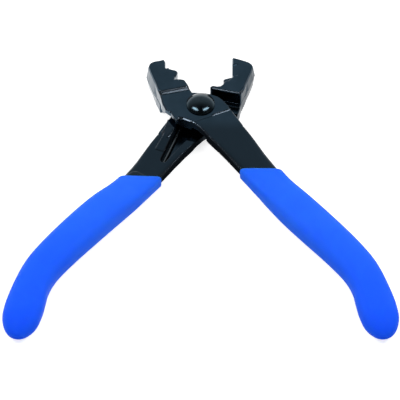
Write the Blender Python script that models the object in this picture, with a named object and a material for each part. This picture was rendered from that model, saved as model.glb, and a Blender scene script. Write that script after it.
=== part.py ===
"""Hose clamp pliers: two forged levers in a lap joint on a domed rivet, a torsion spring and two dipped grips.

Metres, +Z up. The tool lies on its back, jaws towards +Y, in its open position. Both levers are one forging:
the rear lever is the front lever turned half a turn about the tool's long axis. The origin is under the middle
of the tool's box. The forging's own frame has the pivot axis at X = Y = 0 and its back at Z = 0.
"""
import math

import bmesh
import bpy
from mathutils import Vector

MM = 0.001

# Overall sizes
JAW_REACH = 25.1 * MM          # pivot to the tip of the jaws, along Y
HANDLE_REACH = 123.0 * MM      # pivot to the ends of the grips, along Y
HEAD_THICKNESS = 13.0 * MM     # jaws, front to back
FIT_GAP = 0.3 * MM             # running gap between neighbouring pieces
OVERLAP = 0.3 * MM             # how far joined shapes run into each other
OVERRUN = 2.0 * MM             # how far a cutter runs past the face that it opens

# Lap joint
PAD_STEP = 1.0 * MM            # joint faces lie this far below the jaw faces
SHANK_STEP = 0.35 * MM         # shanks lie this far below the joint faces
STEP_SHARE = 0.306             # pivot to the foot of that step, in shares of the jaw's reach
STEP_ANGLE = math.radians(23.7)
WALL_SHARE = 0.3586            # pivot to the jaw's wall, square to the wall, in shares of the jaw's reach
WALL_ANGLE = math.radians(14.0)
WALL_CHAMFER = 1.0 * MM
RELIEF_WIDTH = 2.0 * MM        # groove along the foot of the wall
RELIEF_DEPTH = 1.2 * MM
HEEL_SHARE = 0.5717            # round heel of the joint, which turns beside the other lever's lug
HEEL_START_ANGLE = math.radians(199.0)
HEEL_CORNER_ANGLE = math.radians(221.6)
STOP_WIDTH = 0.8 * MM          # shoulder on the heel that meets the other lever's lug when open
LUG_HEIGHT = 1.9 * MM
LUG_LENGTH = 6.5 * MM
LUG_SPAN = math.radians(26.0)
RIB_HEIGHT = 0.9 * MM
RIB_LENGTH = 20.0 * MM

# Jaws
TOOTH_THICKNESS = 7.0 * MM     # front layer with the hook tooth; the rest is the straight back layer
EDGE_ROUND = 0.4 * MM
DRAFT_BULGE = 0.7 * MM         # forging draft: the jaw is fullest at its parting line
NOSE_RELIEF_WIDTH = 2.5 * MM
NOSE_RELIEF_DEPTH = 0.8 * MM

# Rivet
RIVET_RADIUS = 4.0 * MM
RIVET_HEAD_RADIUS = 6.05 * MM
RIVET_HEAD_HEIGHT = 2.5 * MM
RIVET_TAIL_RADIUS = 5.2 * MM
RIVET_TAIL_HEIGHT = 0.6 * MM
RIVET_SIDES = 40

# Spring
WIRE_DIAMETER = 1.3 * MM
COIL_RADIUS = 5.5 * MM         # pivot to the middle of the wire
COIL_FULL_TURNS = 2
COIL_POINTS = 10               # for each turn
LEG_LENGTH = 29.5 * MM
LEG_ANGLE = math.radians(20.7)     # between a leg and the tool's long axis
LEG_DEPTH = 2.15 * MM          # middle of a leg's wire below the lap face
GROOVE_MARGIN = 0.9 * MM       # beside the wire
GROOVE_FLARE = math.radians(15.0)
CRESCENT_SHARE = 0.6335         # shallow recess round the coil, open to the crotch, in shares of the jaw's reach
CRESCENT_DEPTH = 1.6 * MM
CRESCENT_START_ANGLE = math.radians(-62.0)
CRESCENT_END_ANGLE = math.radians(-112.0)

# Grips
DIP_LINE = 35.4 * MM           # pivot to the straight edge of the grips, along Y
GRIP_WALL = 2.0 * MM
GRIP_END_ROUND = 8.0 * MM
TANG_END_ROUND = 4.0 * MM

# Outlines of the jaw, front and back layer, in shares of the jaw's reach
NOSE_FRONT_SHARES = (
    (-0.618, 0.956), (-0.689, 0.934), (-0.773, 0.916), (-0.829, 0.892), (-0.865, 0.853), (-0.880, 0.793),
    (-0.849, 0.685), (-0.809, 0.570), (-0.765, 0.446), (-0.725, 0.323),
)
THROAT_FRONT_SHARES = (
    (-0.211, 0.410), (-0.257, 0.494), (-0.279, 0.518), (-0.347, 0.530), (-0.438, 0.526), (-0.434, 0.574),
    (-0.410, 0.629), (-0.388, 0.685), (-0.406, 0.709), (-0.510, 0.741), (-0.586, 0.765), (-0.594, 0.781),
    (-0.594, 0.908),
)
NOSE_BACK_SHARES = (
    (-0.538, 1.000), (-0.669, 0.956), (-0.757, 0.920), (-0.825, 0.888), (-0.871, 0.841), (-0.884, 0.793),
    (-0.857, 0.693), (-0.817, 0.588), (-0.779, 0.470), (-0.739, 0.347),
)
THROAT_BACK_SHARES = (
    (-0.163, 0.343), (-0.171, 0.371), (-0.203, 0.392), (-0.275, 0.376), (-0.331, 0.382), (-0.378, 0.422),
    (-0.398, 0.478), (-0.458, 0.492), (-0.494, 0.522), (-0.538, 0.574),
)
WALL_OUTER_SHARE = -0.670
WALL_INNER_SHARE = -0.185
NOSE_RELIEF_SHARES = (0.590, 0.845)    # lower and upper end, along Y

# Outline of the joint pad in shares of the jaw's reach: flank, then crotch, then crown
PAD_FLANK_SHARES = (
    (-0.677, 0.259), (-0.669, 0.167), (-0.649, 0.084), (-0.606, -0.016), (-0.590, -0.116),
)
PAD_CROTCH_SHARES = (
    (-0.367, -0.303), (-0.295, -0.315), (-0.179, -0.367), (-0.112, -0.402), (-0.044, -0.458), (0.076, -0.594),
    (0.135, -0.685), (0.207, -0.773), (0.299, -0.884), (0.480, -0.860),
)
PAD_CROWN_SHARES = (
    (0.709, -0.442), (0.629, -0.299), (0.562, -0.191), (0.494, -0.080), (0.470, -0.028), (0.422, 0.040),
    (0.363, 0.120), (0.287, 0.187), (0.175, 0.231), (0.092, 0.255), (0.020, 0.267), (-0.147, 0.271),
    (-0.183, 0.339),
)

# Handle: middle of the section in shares of the handle's reach, and its share of the way from the shank's
# level to the middle of the tool's thickness
HANDLE_SHARES = (
    (0.065, -0.080, 0.0), (0.100, -0.133, 0.0), (0.137, -0.188, 0.0), (0.173, -0.245, 0.0),
    (0.215, -0.303, 0.1), (0.265, -0.369, 0.5), (0.324, -0.435, 0.88), (0.391, -0.512, 1.0),
    (0.472, -0.603, 1.0), (0.531, -0.680, 1.0), (0.559, -0.732, 1.0), (0.580, -0.784, 1.0),
    (0.594, -0.828, 1.0), (0.606, -0.872, 1.0), (0.616, -0.913, 1.0), (0.624, -0.958, 1.0),
    (0.629, -1.000, 1.0),
)
SHANK_HALF_WIDTH = 7.4 * MM
HALF_WIDTH_SHARES = (
    0.93, 1.0, 0.96, 0.912, 0.86, 0.79, 0.80, 0.815, 0.80, 0.77, 0.745, 0.75, 0.80, 0.815, 0.77, 0.72, 0.70,
)
TANG_HALF_THICKNESS = 4.2 * MM
GRIP_WALL_SHARES = (
    0.3, 0.3, 0.4, 0.45, 0.5, 0.75, 0.95, 1.0, 1.0, 1.0, 1.0, 1.0, 1.0, 1.05, 1.1, 1.1, 1.1,
)
SQUARENESS = (14, 14, 9, 6, 4.8, 4.0, 3.4, 3.0, 2.8, 2.7, 2.7, 2.7, 2.7, 2.7, 2.7, 2.7, 2.7)
SECTION_SIDES = 24
BARE_STATION_COUNT = 2         # stations before the grip's first one, which the cut at the dip line takes off
TANG_STATION_COUNT = 16        # stations that the steel runs through

# Colours
STEEL_COLOUR = (0.030, 0.042, 0.052)
SPRING_COLOUR = (0.10, 0.11, 0.12)
GRIP_COLOUR = (0.010, 0.090, 0.940)

# Values worked out from the sizes above
MID_PLANE = HEAD_THICKNESS / 2
LAP_FACE = MID_PLANE + FIT_GAP / 2
PAD_FACE = HEAD_THICKNESS - PAD_STEP
SHANK_FACE = PAD_FACE - SHANK_STEP
TOOTH_PLANE = HEAD_THICKNESS - TOOTH_THICKNESS
PIVOT_Y = (HANDLE_REACH - JAW_REACH) / 2
WALL_DISTANCE = JAW_REACH * WALL_SHARE
STEP_DISTANCE = JAW_REACH * STEP_SHARE
HEEL_RADIUS = JAW_REACH * HEEL_SHARE
CRESCENT_RADIUS = JAW_REACH * CRESCENT_SHARE
LEG_LEVEL = LAP_FACE + LEG_DEPTH
POCKET_CEILING = LEG_LEVEL + WIRE_DIAMETER / 2 + FIT_GAP
HALF_TURN = math.pi


def clear_scene():
    """Empties the file of objects."""
    for item in list(bpy.data.objects):
        bpy.data.objects.remove(item, do_unlink=True)


def make_material(name, colour, roughness, metallic):
    """A Principled material of one colour."""
    made = bpy.data.materials.new(name)
    made.use_nodes = True
    shader = made.node_tree.nodes["Principled BSDF"]
    shader.inputs["Base Color"].default_value = (*colour, 1.0)
    shader.inputs["Roughness"].default_value = roughness
    shader.inputs["Metallic"].default_value = metallic
    made.diffuse_color = (*colour, 1.0)
    return made


def add_object(name, mesh):
    """Links a mesh or curve into the scene under a name."""
    made = bpy.data.objects.new(name, mesh)
    bpy.context.scene.collection.objects.link(made)
    return made


def add_solid(name, shape):
    """Turns a bmesh into an object with outward faces."""
    bmesh.ops.triangulate(shape, faces=shape.faces)
    bmesh.ops.recalc_face_normals(shape, faces=shape.faces)
    mesh = bpy.data.meshes.new(name)
    shape.to_mesh(mesh)
    shape.free()
    return add_object(name, mesh)


def combine(base, tools):
    """Adds or cuts (object, operation) pairs in turn and returns the finished mesh."""
    for tool, operation in tools:
        tool.hide_render = True
        tool.display_type = "WIRE"
        step = base.modifiers.new(operation.title(), "BOOLEAN")
        step.operation = operation
        step.solver = "MANIFOLD"
        step.object = tool
    bpy.context.view_layer.update()
    seen = base.evaluated_get(bpy.context.evaluated_depsgraph_get())
    mesh = bpy.data.meshes.new_from_object(seen)
    for item in [base] + [tool for tool, _ in tools]:
        bpy.data.objects.remove(item, do_unlink=True)
    return mesh


def scaled(shares, size):
    """Outline points from their shares of one size."""
    return [Vector((x, y)) * size for x, y in shares]


def polar(radius, angle):
    """A point round the pivot."""
    return Vector((math.cos(angle), math.sin(angle))) * radius


def arc(radius, start, end, steps):
    """Points round the pivot from one angle to another."""
    return [polar(radius, start + (end - start) * i / steps) for i in range(steps + 1)]


def inset(outline, amounts):
    """Moves each corner of an anticlockwise outline inwards by its own amount."""
    count = len(outline)
    moved = []
    for i, corner in enumerate(outline):
        before = (corner - outline[i - 1]).normalized()
        after = (outline[(i + 1) % count] - corner).normalized()
        inward = Vector((-before.y - after.y, before.x + after.x)).normalized()
        square = max(Vector((-after.y, after.x)).dot(inward), 0.5)
        moved.append(corner + inward * (amounts[i] / square))
    return moved


def stack(name, levels):
    """A closed solid through outlines of as many points each; an outline's points may differ in height."""
    shape = bmesh.new()
    rings = []
    for heights, outline in levels:
        if not isinstance(heights, (list, tuple)):
            heights = [heights] * len(outline)
        rings.append([shape.verts.new((p.x, p.y, z)) for p, z in zip(outline, heights)])
    for low, high in zip(rings, rings[1:]):
        for i in range(len(low)):
            after = (i + 1) % len(low)
            shape.faces.new((low[i], low[after], high[after], high[i]))
    shape.faces.new(list(reversed(rings[0])))
    shape.faces.new(rings[-1])
    return add_solid(name, shape)


def wall_point(x, distance):
    """A point at a given X on a line parallel to the jaw's wall."""
    return Vector((x, (distance + x * math.sin(WALL_ANGLE)) / math.cos(WALL_ANGLE)))


def jaw_layer(name, nose_shares, throat_shares, outer, root):
    """A jaw layer from the parting line, where its outer flank is fullest, to its face; its root is slimmer."""
    nose = scaled(nose_shares, JAW_REACH)
    wall = [wall_point(share * JAW_REACH, WALL_DISTANCE) for share in (WALL_OUTER_SHARE, WALL_INNER_SHARE)]
    outline = nose + wall + scaled(throat_shares, JAW_REACH)
    start, count = len(nose), len(outline)
    bulge = [-DRAFT_BULGE if 2 < i < start - 1 else 0.0 for i in range(count)]
    rim = [WALL_CHAMFER if i in (start, start + 1) else EDGE_ROUND for i in range(count)]
    edge = outer + (PAD_STEP if outer < TOOTH_PLANE else -PAD_STEP)
    levels = [(TOOTH_PLANE, inset(outline, bulge)), (edge, outline), (outer, inset(outline, rim))]
    if root:
        levels.append((TOOTH_PLANE + root, inset(outline, [root] * count)))
    return stack(name, sorted(levels, key=lambda level: level[0]))


def step_cutter():
    """Takes the shank's root down from the joint's face, with a chamfer along the step."""
    along = Vector((math.cos(STEP_ANGLE), math.sin(STEP_ANGLE))) * JAW_REACH
    away = Vector((math.sin(STEP_ANGLE), -math.cos(STEP_ANGLE)))
    rise = SHANK_STEP + OVERRUN
    far = away * (STEP_DISTANCE + JAW_REACH)
    levels = []
    for height, shift in ((SHANK_FACE, 0.0), (SHANK_FACE + rise, rise)):
        foot = away * (STEP_DISTANCE - shift)
        levels.append((height, [foot - along, far - along, far + along, foot + along]))
    return stack("step", levels)


def joint_pad():
    """The half of the lap joint that the forging carries: flank, stop shoulder, heel, crotch and crown."""
    stop = [polar(HEEL_RADIUS + STOP_WIDTH, HEEL_START_ANGLE)]
    heel = arc(HEEL_RADIUS, HEEL_START_ANGLE, HEEL_CORNER_ANGLE, 4)
    flank, crotch, crown = (scaled(s, JAW_REACH) for s in (PAD_FLANK_SHARES, PAD_CROTCH_SHARES, PAD_CROWN_SHARES))
    outline = flank + stop + heel + crotch + crown
    beyond = [p.x * math.sin(STEP_ANGLE) - p.y * math.cos(STEP_ANGLE) > STEP_DISTANCE for p in outline]
    rounds = [EDGE_ROUND + SHANK_STEP * low for low in beyond]
    edge = [PAD_FACE - amount for amount in rounds]
    return stack("pad", [(LAP_FACE, outline), (edge, outline), (PAD_FACE, inset(outline, rounds))])


def smooth(values, steps):
    """A Catmull-Rom run through numbers or vectors."""
    run = []
    last = len(values) - 1
    for i in range(last):
        before, here = values[max(i - 1, 0)], values[i]
        after, beyond = values[i + 1], values[min(i + 2, last)]
        for k in range(steps):
            t = k / steps
            run.append(here + (after - before) * (t / 2)
                       + (before - here * 2.5 + after * 2 - beyond * 0.5) * t ** 2
                       + (here * 1.5 - before * 0.5 - after * 1.5 + beyond * 0.5) * t ** 3)
    return run + [values[last]]


def section(centre, along, half_width, half_thickness, squareness):
    """A rounded section square to the handle's run."""
    across = Vector((along.y, -along.x, 0)).normalized()
    ring = []
    for i in range(SECTION_SIDES):
        turn = 2 * math.pi * (i + 0.5) / SECTION_SIDES
        c, s = math.cos(turn), math.sin(turn)
        wide = math.copysign(abs(c) ** (2 / squareness), c) * half_width
        high = math.copysign(abs(s) ** (2 / squareness), s) * half_thickness
        ring.append(centre + across * wide + Vector((0, 0, high)))
    return ring


def handle_tube(name, margins, first, last, steps, end_round):
    """A tube along the handle between two stations, each section its margin larger than the bare steel."""
    shank_middle = (LAP_FACE + SHANK_FACE) / 2
    shank_half = (SHANK_FACE - LAP_FACE) / 2
    middles, widths, thicks = [], [], []
    for i in range(first, last + 1):
        x, y, settled = HANDLE_SHARES[i]
        height = shank_middle + (MID_PLANE - shank_middle) * settled
        middles.append(Vector((x * HANDLE_REACH, y * HANDLE_REACH, height)))
        widths.append(SHANK_HALF_WIDTH * HALF_WIDTH_SHARES[i] + margins[i])
        thicks.append(shank_half + (TANG_HALF_THICKNESS - shank_half) * settled + margins[i])
    middles, widths, thicks = smooth(middles, steps), smooth(widths, steps), smooth(thicks, steps)
    squares = smooth(SQUARENESS[first:last + 1], steps)
    left = [0.0]
    for near, far in zip(middles[::-1], middles[-2::-1]):
        left.insert(0, left[0] + (near - far).length)
    shape = bmesh.new()
    rings = []
    for i, middle in enumerate(middles):
        along = middles[min(i + 1, len(middles) - 1)] - middles[max(i - 1, 0)]
        near_end = min((left[i] + end_round / 12) / end_round, 1.0)
        narrow = math.sqrt(1 - (1 - near_end) ** 2)
        ring = section(middle, along, widths[i] * narrow, thicks[i] * narrow, squares[i])
        rings.append([shape.verts.new(p) for p in ring])
    for near, far in zip(rings, rings[1:]):
        for i in range(SECTION_SIDES):
            after = (i + 1) % SECTION_SIDES
            shape.faces.new((near[i], near[after], far[after], far[i]))
    shape.faces.new(rings[0])
    shape.faces.new(rings[-1])
    return add_solid(name, shape)


def leg_point(distance, aside):
    """A point beside the spring's leg, measured from where it leaves the coil; aside is towards the crotch."""
    along = Vector((math.sin(LEG_ANGLE), -math.cos(LEG_ANGLE)))
    return polar(COIL_RADIUS, LEG_ANGLE) + along * distance - polar(aside, LEG_ANGLE)


def stop_lug():
    """The lug that the other lever's heel turns beside, sloping away to the shank."""
    start = HEEL_START_ANGLE - HALF_TURN
    inner = arc(HEEL_RADIUS + FIT_GAP, -start - FIT_GAP / HEEL_RADIUS, -start - LUG_SPAN, 4)
    outer = [polar(HEEL_RADIUS + LUG_LENGTH, -start - LUG_SPAN),
             polar(HEEL_RADIUS + LUG_LENGTH, -start - LUG_SPAN * 0.6),
             polar(HEEL_RADIUS + LUG_LENGTH / 2, -start - LUG_SPAN * 0.45)]
    low = LAP_FACE - LUG_HEIGHT
    lows = [low] * len(inner) + [LAP_FACE - RIB_HEIGHT / 2, LAP_FACE + OVERLAP, low + LUG_HEIGHT / 2]
    highs = [SHANK_FACE - EDGE_ROUND] * len(lows)
    return stack("lug", [(lows, inner + outer), (highs, inner + outer)])


def outer_rib():
    """The raised outer half of the shank beside the spring's groove, running out towards the grip."""
    start = HEEL_RADIUS - WIRE_DIAMETER
    outline = [leg_point(start, 0), leg_point(start + RIB_LENGTH, 0),
               leg_point(start + RIB_LENGTH, -SHANK_HALF_WIDTH * 0.8), leg_point(start, -SHANK_HALF_WIDTH * 0.6)]
    low, end = LAP_FACE - RIB_HEIGHT, LAP_FACE + OVERLAP
    return stack("rib", [([low, end, end, low], outline), ([SHANK_FACE - EDGE_ROUND * 2] * 4, outline)])


def spring_cutters():
    """The coil's round pocket, the leg's flared groove and the crescent recess."""
    low, high = LAP_FACE - LUG_HEIGHT - OVERRUN, POCKET_CEILING
    reach = COIL_RADIUS + WIRE_DIAMETER / 2 + 2 * FIT_GAP
    pocket = stack("pocket", [(low, arc(reach, 0, 2 * math.pi * 31 / 32, 31)),
                              (high, arc(reach, 0, 2 * math.pi * 31 / 32, 31))])
    half = WIRE_DIAMETER / 2 + GROOVE_MARGIN
    tip = [leg_point(LEG_LENGTH + half * math.sin(t), half * math.cos(t))
           for t in (math.pi * i / 6 for i in range(7))]
    flare = half + LEG_LENGTH * math.tan(GROOVE_FLARE)
    outline = tip + [leg_point(0, -half), leg_point(0, flare)]
    groove = stack("groove", [(low, outline[::-1]), (high, outline[::-1])])
    ring = arc(CRESCENT_RADIUS, CRESCENT_END_ANGLE, CRESCENT_START_ANGLE, 12)
    fan = [Vector((0, 0))] + ring
    ceiling = LAP_FACE + CRESCENT_DEPTH
    crescent = stack("crescent", [(LAP_FACE - OVERRUN, fan), (ceiling, fan)])
    return [pocket, groove, crescent]


def relief_cutter():
    """The groove along the foot of the jaw's wall."""
    ends = (-JAW_REACH, JAW_REACH / 2)
    outline = [wall_point(ends[0], WALL_DISTANCE - RELIEF_WIDTH), wall_point(ends[1], WALL_DISTANCE - RELIEF_WIDTH),
               wall_point(ends[1], WALL_DISTANCE), wall_point(ends[0], WALL_DISTANCE)]
    return stack("relief", [(LAP_FACE - OVERRUN, outline), (LAP_FACE + RELIEF_DEPTH, outline)])


def nose_relief_cutter():
    """The sloping relief along the inner edge of the nose, on the back face."""
    edge = THROAT_BACK_SHARES[-1][0] * JAW_REACH
    low, high = (share * JAW_REACH for share in NOSE_RELIEF_SHARES)
    outline = [Vector((edge - NOSE_RELIEF_WIDTH, low)), Vector((edge + NOSE_RELIEF_WIDTH, low)),
               Vector((edge + NOSE_RELIEF_WIDTH, high)), Vector((edge - NOSE_RELIEF_WIDTH, high))]
    tops = [0.0, NOSE_RELIEF_DEPTH * 2, NOSE_RELIEF_DEPTH * 2, 0.0]
    return stack("nose_relief", [([-OVERRUN] * 4, outline), (tops, outline)])


def hole_cutter():
    """The rivet's hole."""
    ring = arc(RIVET_RADIUS + FIT_GAP, 0, 2 * math.pi * 31 / 32, 31)
    return stack("hole", [(0.0, ring), (HEAD_THICKNESS, ring)])


def forge_lever():
    """One lever: jaw, lap joint, shank and tang."""
    margins = [0.0] * len(HANDLE_SHARES)
    base = jaw_layer("front_layer", NOSE_FRONT_SHARES, THROAT_FRONT_SHARES, HEAD_THICKNESS, 0.0)
    back = jaw_layer("back_layer", NOSE_BACK_SHARES, THROAT_BACK_SHARES, 0.0, OVERLAP)
    shank = handle_tube("shank", margins, 0, TANG_STATION_COUNT - 1, 2, TANG_END_ROUND)
    tools = [(piece, "UNION") for piece in (back, joint_pad(), shank, stop_lug(), outer_rib())]
    cutters = spring_cutters() + [step_cutter(), relief_cutter(), nose_relief_cutter(), hole_cutter()]
    return combine(base, tools + [(cutter, "DIFFERENCE") for cutter in cutters])


def dip_grip():
    """One grip: a closed-end sleeve over the tang, cut off straight at the dip line."""
    last = len(HANDLE_SHARES) - 1
    walls = [GRIP_WALL * share for share in GRIP_WALL_SHARES]
    base = handle_tube("sleeve", walls, BARE_STATION_COUNT, last, 2, GRIP_END_ROUND)
    core = handle_tube("core", [FIT_GAP] * len(HANDLE_SHARES), 0, TANG_STATION_COUNT - 1, 2,
                       TANG_END_ROUND)
    cut = [Vector((0, -DIP_LINE)), Vector((HANDLE_REACH, -DIP_LINE)), Vector((HANDLE_REACH, 0)), Vector((0, 0))]
    dip = stack("dip", [(-OVERRUN, cut), (HEAD_THICKNESS + OVERRUN, cut)])
    return combine(base, [(core, "DIFFERENCE"), (dip, "DIFFERENCE")])


def turned_rivet():
    """The rivet: domed head, shank through both levers, flat peened tail."""
    cap = (RIVET_HEAD_RADIUS ** 2 + RIVET_HEAD_HEIGHT ** 2) / (2 * RIVET_HEAD_HEIGHT)
    under = PAD_FACE + FIT_GAP
    lower = PAD_STEP - FIT_GAP
    opening = math.asin(RIVET_HEAD_RADIUS / cap)
    dome = [(cap * math.sin(opening * i / 8), under + RIVET_HEAD_HEIGHT - cap * (1 - math.cos(opening * i / 8)))
            for i in range(8, 0, -1)]
    profile = [(RIVET_TAIL_RADIUS - EDGE_ROUND, lower - RIVET_TAIL_HEIGHT), (RIVET_TAIL_RADIUS, lower),
               (RIVET_RADIUS, lower), (RIVET_RADIUS, under), (RIVET_HEAD_RADIUS, under)] + dome[1:]
    shape = bmesh.new()
    rings = [[shape.verts.new((r * math.cos(a), r * math.sin(a), z))
              for a in (2 * math.pi * i / RIVET_SIDES for i in range(RIVET_SIDES))] for r, z in profile]
    for low, high in zip(rings, rings[1:]):
        for i in range(RIVET_SIDES):
            after = (i + 1) % RIVET_SIDES
            shape.faces.new((low[i], low[after], high[after], high[i]))
    shape.faces.new(rings[0])
    top = shape.verts.new((0, 0, under + RIVET_HEAD_HEIGHT))
    for i in range(RIVET_SIDES):
        shape.faces.new((rings[-1][i], rings[-1][(i + 1) % RIVET_SIDES], top))
    made = add_solid("pivot_rivet", shape)
    made.data.shade_smooth()
    made.data.set_sharp_from_angle(angle=math.radians(35))
    return made


def spring_path():
    """The middle of the spring's wire, from the tip of the rear leg round the coil to the front leg's tip."""
    lift = LEG_LEVEL - (HEAD_THICKNESS - LEG_LEVEL)
    start, end = HALF_TURN - LEG_ANGLE, LEG_ANGLE - 2 * math.pi * COIL_FULL_TURNS
    steps = round((start - end) / (2 * math.pi) * COIL_POINTS)
    low = HEAD_THICKNESS - LEG_LEVEL
    points = []
    for distance in (LEG_LENGTH, LEG_LENGTH / 2):
        p = leg_point(distance, 0)
        points.append(Vector((-p.x, p.y, low)))
    for i in range(steps + 1):
        p = polar(COIL_RADIUS, start + (end - start) * i / steps)
        points.append(Vector((p.x, p.y, low + lift * i / steps)))
    for distance in (LEG_LENGTH / 2, LEG_LENGTH):
        p = leg_point(distance, 0)
        points.append(Vector((p.x, p.y, LEG_LEVEL)))
    return points


def least_gap(points, diameter):
    """The least gap between two stretches of a tube that are over half a turn apart."""
    fine = smooth(points, 8)
    apart = 8 * COIL_POINTS // 2
    return min((fine[i] - fine[k]).length for i in range(len(fine)) for k in range(i + apart, len(fine))) - diameter


def wound_spring():
    """The torsion spring, one unbroken wire."""
    points = spring_path()
    curve = bpy.data.curves.new("return_spring", "CURVE")
    curve.dimensions = "3D"
    curve.bevel_depth = WIRE_DIAMETER / 2
    curve.bevel_resolution = 1
    curve.use_fill_caps = True
    spline = curve.splines.new("POLY")
    spline.points.add(len(points) - 1)
    for spot, point in zip(spline.points, points):
        spot.co = (*point, 1.0)
    print("least gap of the spring's wire to itself, mm:", round(least_gap(points, WIRE_DIAMETER) / MM, 3))
    return add_object("return_spring", curve)


def build():
    """Makes every piece and sets it in its place."""
    clear_scene()
    steel = make_material("black_forged_steel", STEEL_COLOUR, 0.38, 0.9)
    wire = make_material("spring_steel", SPRING_COLOUR, 0.3, 1.0)
    vinyl = make_material("blue_dipped_vinyl", GRIP_COLOUR, 0.4, 0.0)
    lever, grip = forge_lever(), dip_grip()
    lever.materials.clear()
    lever.materials.append(steel)
    grip.materials.clear()
    grip.materials.append(vinyl)
    for mesh in (lever, grip):
        mesh.shade_smooth()
        mesh.set_sharp_from_angle(angle=math.radians(30))
    for side, height, turn in (("front", 0.0, 0.0), ("rear", HEAD_THICKNESS, HALF_TURN)):
        half = add_object(side + "_half", None)
        half.location = (0, PIVOT_Y, height)
        half.rotation_euler = (0, turn, 0)
        add_object(side + "_lever", lever).parent = half
        add_object(side + "_grip", grip).parent = half
    for piece, finish in ((turned_rivet(), steel), (wound_spring(), wire)):
        piece.data.materials.append(finish)
        piece.location = (0, PIVOT_Y, 0)


build()
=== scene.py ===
"""Hose clamp pliers: black forged levers in a lap joint, a domed rivet, a torsion spring and blue dipped grips."""
import math

import bmesh
import bpy
import numpy as np
from mathutils import Matrix, Vector


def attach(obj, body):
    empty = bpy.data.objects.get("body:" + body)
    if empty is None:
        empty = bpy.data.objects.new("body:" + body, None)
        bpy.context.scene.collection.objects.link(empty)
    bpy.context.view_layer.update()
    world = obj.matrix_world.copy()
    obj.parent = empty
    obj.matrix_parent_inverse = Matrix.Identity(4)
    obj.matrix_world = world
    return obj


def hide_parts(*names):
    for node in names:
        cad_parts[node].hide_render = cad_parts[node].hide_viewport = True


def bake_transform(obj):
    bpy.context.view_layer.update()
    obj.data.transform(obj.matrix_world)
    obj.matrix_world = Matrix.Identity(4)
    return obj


MM = 0.001
IMAGE_SIZE = 400

# The forging's own frame, as in the part's source: the pivot axis at X = Y = 0 and the back at Z = 0
PIVOT_Y = 48.95 * MM
HEAD_THICKNESS = 13.0 * MM
MID_PLANE = HEAD_THICKNESS / 2
LAP_FACE = 6.65 * MM
PAD_FACE = 12.0 * MM
SHANK_FACE = 11.65 * MM

# Forging finish
GRAIN = 0.15 * MM               # voxels that the forging is worked in
SOFTENING_PASSES = 6
SWELL = 0.12 * MM               # the tumbled blank's sides are this much full, to end at size
JAW_FULLNESS = 0.45 * MM        # and its jaws this much long
WALL_DISTANCE = 9.0 * MM        # pivot to the jaw's wall
WALL_ANGLE = math.radians(14.0)
WALL_CHAMFER = 1.0 * MM         # of the blank
SHOULDER_WIDTH = 1.6 * MM       # the slope from the joint's face up to the jaw's face
WALL_EDGE = 0.6 * MM            # width of the bevel that is left along the wall's own edge
WALL_EDGE_DROP = 0.4 * MM
RELIEF_WIDTH = 2.0 * MM         # of the blank's groove along the foot of the wall, which is forged as a ledge
RELIEF_DEPTH = 1.2 * MM
LEDGE_PROFILE = ((-0.95, -0.45, 0.0, 0.4), (0, -0.25, 0.12, 0.1))     # millimetres, across it and up
FLANK_FROM = -1.0 * MM          # stretch of the outer flank that is one sweep, from the pivot along Y
FLANK_TO = 17.0 * MM
FLANK_SWEEP = 1.8 * MM          # length over which its flats run into each other
FLANK_STEP = 0.1 * MM
FLANK_FACING = 0.6              # a surface that points outward by more than this share is flank
FLASH_PLANE = 6.0 * MM          # where the dies met
FLASH_HALF_WIDTH = 0.4 * MM
FLASH_DEPTH = 0.2 * MM
HEEL_RADIUS = 14.35 * MM        # of the blank's heel
SHOULDER_RADIUS = 15.15 * MM    # and of its shoulder
SHOULDER_END = 199.3            # degrees about the pivot, where the shoulder gives way to the heel
HEEL_ROOT_RADIUS = 10.5 * MM    # inside this the cheek keeps the blank's form
HEEL_DRESSED = 2.2 * MM         # the heel's outer part, which the dressing moves
# The joint's dressed left side: degrees about the pivot, with how far out it goes, then with its radius, in mm
CHEEK_OUT = ((168, 0), (178, 0.7), (186, 0.2), (190, 0))
HEEL_OUTLINE = (
    (186, 15.35), (190, 15.2), (196, 14.1), (201, 13.25), (214, 13.2), (221, 13.6), (224, 14.0), (227, 14.35),
)
# How far the heel's underside is bevelled away above the other lever's lug, and degrees with the share of that
HEEL_LIFT = 3.0 * MM
HEEL_LIFT_SHARES = ((182, 0), (188, 1), (224, 1), (227, 0))
CROTCH_BEVEL = 0.75 * MM
CROTCH_BEVEL_TILT = math.radians(33.0)
# The crotch's edge above the spring, in millimetres from the pivot
CROTCH_LINE = ((-9.2, -7.6), (-7.4, -7.9), (-4.5, -9.2), (-2.8, -10.1), (-1.1, -11.5), (0.6, -13.4))
STEP_DISTANCE = 7.68 * MM       # pivot to the small step at the shank's root
STEP_ANGLE = math.radians(23.7)
# Across the step: millimetres past its line, and the share of its height; both edges were struck up a little
STEP_PROFILE = ((-1.15, -0.62, 0.0, 0.5), (0, -0.15, 1.15, 1))
STEP_SEEN_FROM = 4.2 * MM       # left of this the step runs out into the face
STEP_FADE = 1.4 * MM
STEP_FAIRING = 7.0 * MM         # half the length over which the two levels meet there

# Zones of the levers' colour and finish, some of them painted shade and painted highlight, each from where it starts
# to where it is full: first along the tool from the pivot
SHANK_ZONE = (-6.0 * MM, -15.0 * MM)    # darker in colour than the joint
WEAR_AND_SHEEN_ZONE = (14.0 * MM, 12.5 * MM)   # up to here, slopes take the lighter grey of wear and painted highlight
# and then by how level the surface lies, where 1 is flat and 0 upright
SHADED_SIDE_ZONE = (0.75, 0.35)                # near-black painted shade, on the shank
SLOPE_ZONE = (0.975, 0.93)              # lighter grey of wear and painted highlight, coming from the flat
SLOPE_END_ZONE = (0.45, 0.65)           # the same grey, coming from the upright
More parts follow.
